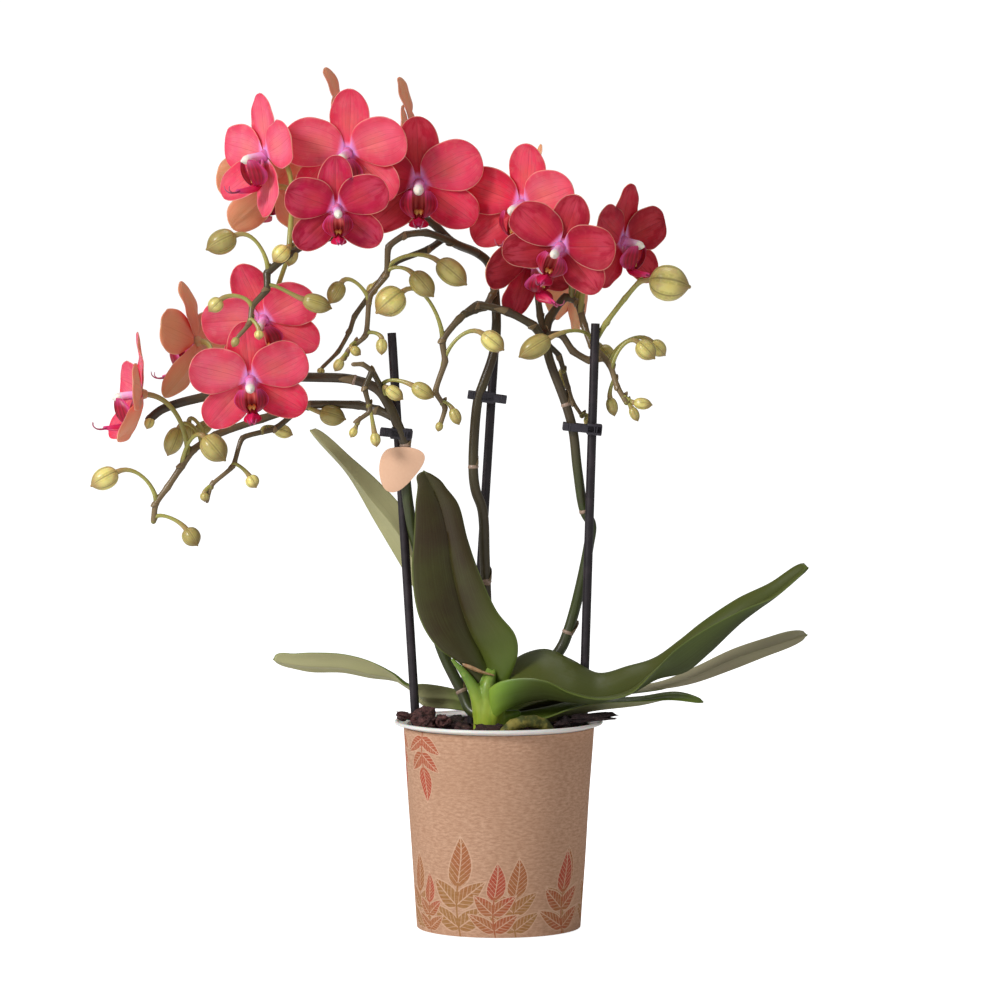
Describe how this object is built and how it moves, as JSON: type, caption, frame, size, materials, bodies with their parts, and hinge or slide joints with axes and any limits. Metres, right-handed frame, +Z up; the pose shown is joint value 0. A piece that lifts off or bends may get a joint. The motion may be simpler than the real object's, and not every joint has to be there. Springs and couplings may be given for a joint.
{
  "type": "potted moth orchid",
  "caption": "Moth orchid in a sleeved grower pot: strap leaves, arching staked flower stems with buds and coral-red blooms, bark on top, stands on its flat pot base",
  "frame": {"origin": "middle of the underside of the pot, on the surface that the pot stands on", "axes": "+Z up; +Y away from the viewer of the picture; +X to the viewer's right"},
  "size_m": [0.3087, 0.1345, 0.3716],
  "materials": {
    "pot_plastic": "thin translucent off-white plastic, satin",
    "kraft_paper": "uncoated brown kraft paper with a faint printed flower pattern, matt",
    "bark_chip": "damp dark brown bark chips, rough",
    "root_skin": "olive root skin with small bumps, dull",
    "crown_green": "fleshy yellow-green leaf bases, satin",
    "leaf_green": "thick waxy green leaf with a purple flush, soft gloss",
    "stem_green": "brown-green flower stem with pinkish node rings, buds yellow-green, satin",
    "stake_black": "black plastic plant stake, satin",
    "clip_black": "black moulded plastic clip, satin",
    "tag_card": "pale peach card, matt",
    "petal_red": "coral-red veined petals with a pale rim and orange-peach back, velvety",
    "lip_crimson": "crimson-magenta lip with a cream-white column, satin"
  },
  "bodies": {
    "root": {"pot": "pot_plastic", "kraft_sleeve": "kraft_paper", "bark_bed": "bark_chip", "aerial_root": "root_skin", "crown": "crown_green", "tag": "tag_card", "leaf_upright": "leaf_green", "leaf_back_left": "leaf_green", "leaf_low_left": "leaf_green", "leaf_wavy_right": "leaf_green", "leaf_back_right": "leaf_green", "leaf_low_right": "leaf_green", "stake_left": "stake_black", "stake_middle": "stake_black", "stake_right": "stake_black", "clip_left": "clip_black", "clip_middle": "clip_black", "clip_right": "clip_black", "spike_left": "stem_green", "spike_middle": "stem_green", "spike_right": "stem_green", "bloom_01_tepals": "petal_red", "bloom_01_lip": "lip_crimson", "bloom_02_tepals": "petal_red", "bloom_02_lip": "lip_crimson", "bloom_03_tepals": "petal_red", "bloom_03_lip": "lip_crimson", "bloom_04_tepals": "petal_red", "bloom_04_lip": "lip_crimson", "bloom_05_tepals": "petal_red", "bloom_05_lip": "lip_crimson", "bloom_06_tepals": "petal_red", "bloom_06_lip": "lip_crimson", "bloom_07_tepals": "petal_red", "bloom_07_lip": "lip_crimson", "bloom_08_tepals": "petal_red", "bloom_08_lip": "lip_crimson", "bloom_09_tepals": "petal_red", "bloom_09_lip": "lip_crimson", "bloom_10_tepals": "petal_red", "bloom_10_lip": "lip_crimson", "bloom_11_tepals": "petal_red", "bloom_11_lip": "lip_crimson", "bloom_12_tepals": "petal_red", "bloom_12_lip": "lip_crimson", "bloom_13_tepals": "petal_red", "bloom_13_lip": "lip_crimson", "bloom_14_tepals": "petal_red", "bloom_14_lip": "lip_crimson", "bloom_15_tepals": "petal_red", "bloom_15_lip": "lip_crimson", "bloom_16_tepals": "petal_red", "bloom_16_lip": "lip_crimson", "bloom_17_tepals": "petal_red", "bloom_17_lip": "lip_crimson"}
  },
  "joints": []
}
